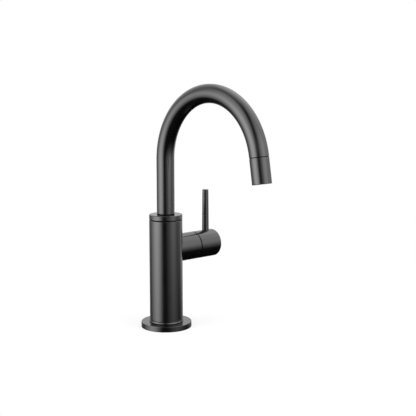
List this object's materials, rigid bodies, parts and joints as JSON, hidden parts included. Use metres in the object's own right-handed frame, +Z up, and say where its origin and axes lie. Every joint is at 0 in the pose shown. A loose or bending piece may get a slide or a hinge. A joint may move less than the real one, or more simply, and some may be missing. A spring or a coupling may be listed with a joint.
{
  "type": "beverage faucet",
  "caption": "Deck mounted beverage faucet: round column, swivelling gooseneck spout and a side hub with a thin upright lever that works a quarter turn valve.",
  "frame": {"origin": "on the column's axis, at the flange's underside where it stands on the deck", "axes": "+Z up along the column, -Y the way the spout reaches, +X the way the side hub reaches"},
  "size_m": [0.0951, 0.1787, 0.2599],
  "materials": {
    "black_finish": "satin black coating",
    "brass": "machined",
    "black_rubber": "matte",
    "grey_plastic": "moulded",
    "stainless": "plain",
    "ceramic": "lapped"
  },
  "bodies": {
    "faucet_body": {"base_flange": "black_finish", "deck_gasket": "black_rubber", "flange_clip": "stainless", "column_shell": "black_finish", "column_cap": "black_finish", "spout_bushing": "grey_plastic", "glide_washer": "grey_plastic", "valve_body": "brass", "side_nipple": "brass", "nipple_o_ring": "black_rubber", "hub_sleeve": "black_finish", "bonnet_nut": "brass", "cartridge_body": "brass", "cartridge_o_ring": "black_rubber", "seat_seal": "black_rubber", "ceramic_disc_fixed": "ceramic"},
    "spout": {"spout_tube": "black_finish", "spout_journal": "brass", "spout_o_rings": "black_rubber", "spout_retaining_ring": "stainless", "tip_nipple": "brass", "nipple_washer": "black_rubber", "aerator_housing": "black_finish", "insert_washer": "black_rubber", "outlet_screen": "stainless", "flow_straightener": "grey_plastic"},
    "handle": {"cartridge_stem": "brass", "stem_o_rings": "black_rubber", "stem_clip": "stainless", "ceramic_disc_moving": "ceramic", "handle_hub": "black_finish", "handle_set_screw": "stainless", "lever_rod": "black_finish"}
  },
  "joints": [
    {"name": "spout_swivel", "type": "hinge", "parent": "faucet_body", "child": "spout", "pos_m": [0, 0, 0.11], "axis": [0, 0, 1], "continuous": true},
    {"name": "handle_turn", "type": "hinge", "parent": "faucet_body", "child": "handle", "pos_m": [0, 0, 0.0841], "axis": [1, 0, 0], "range_deg": [0, 90]}
  ]
}
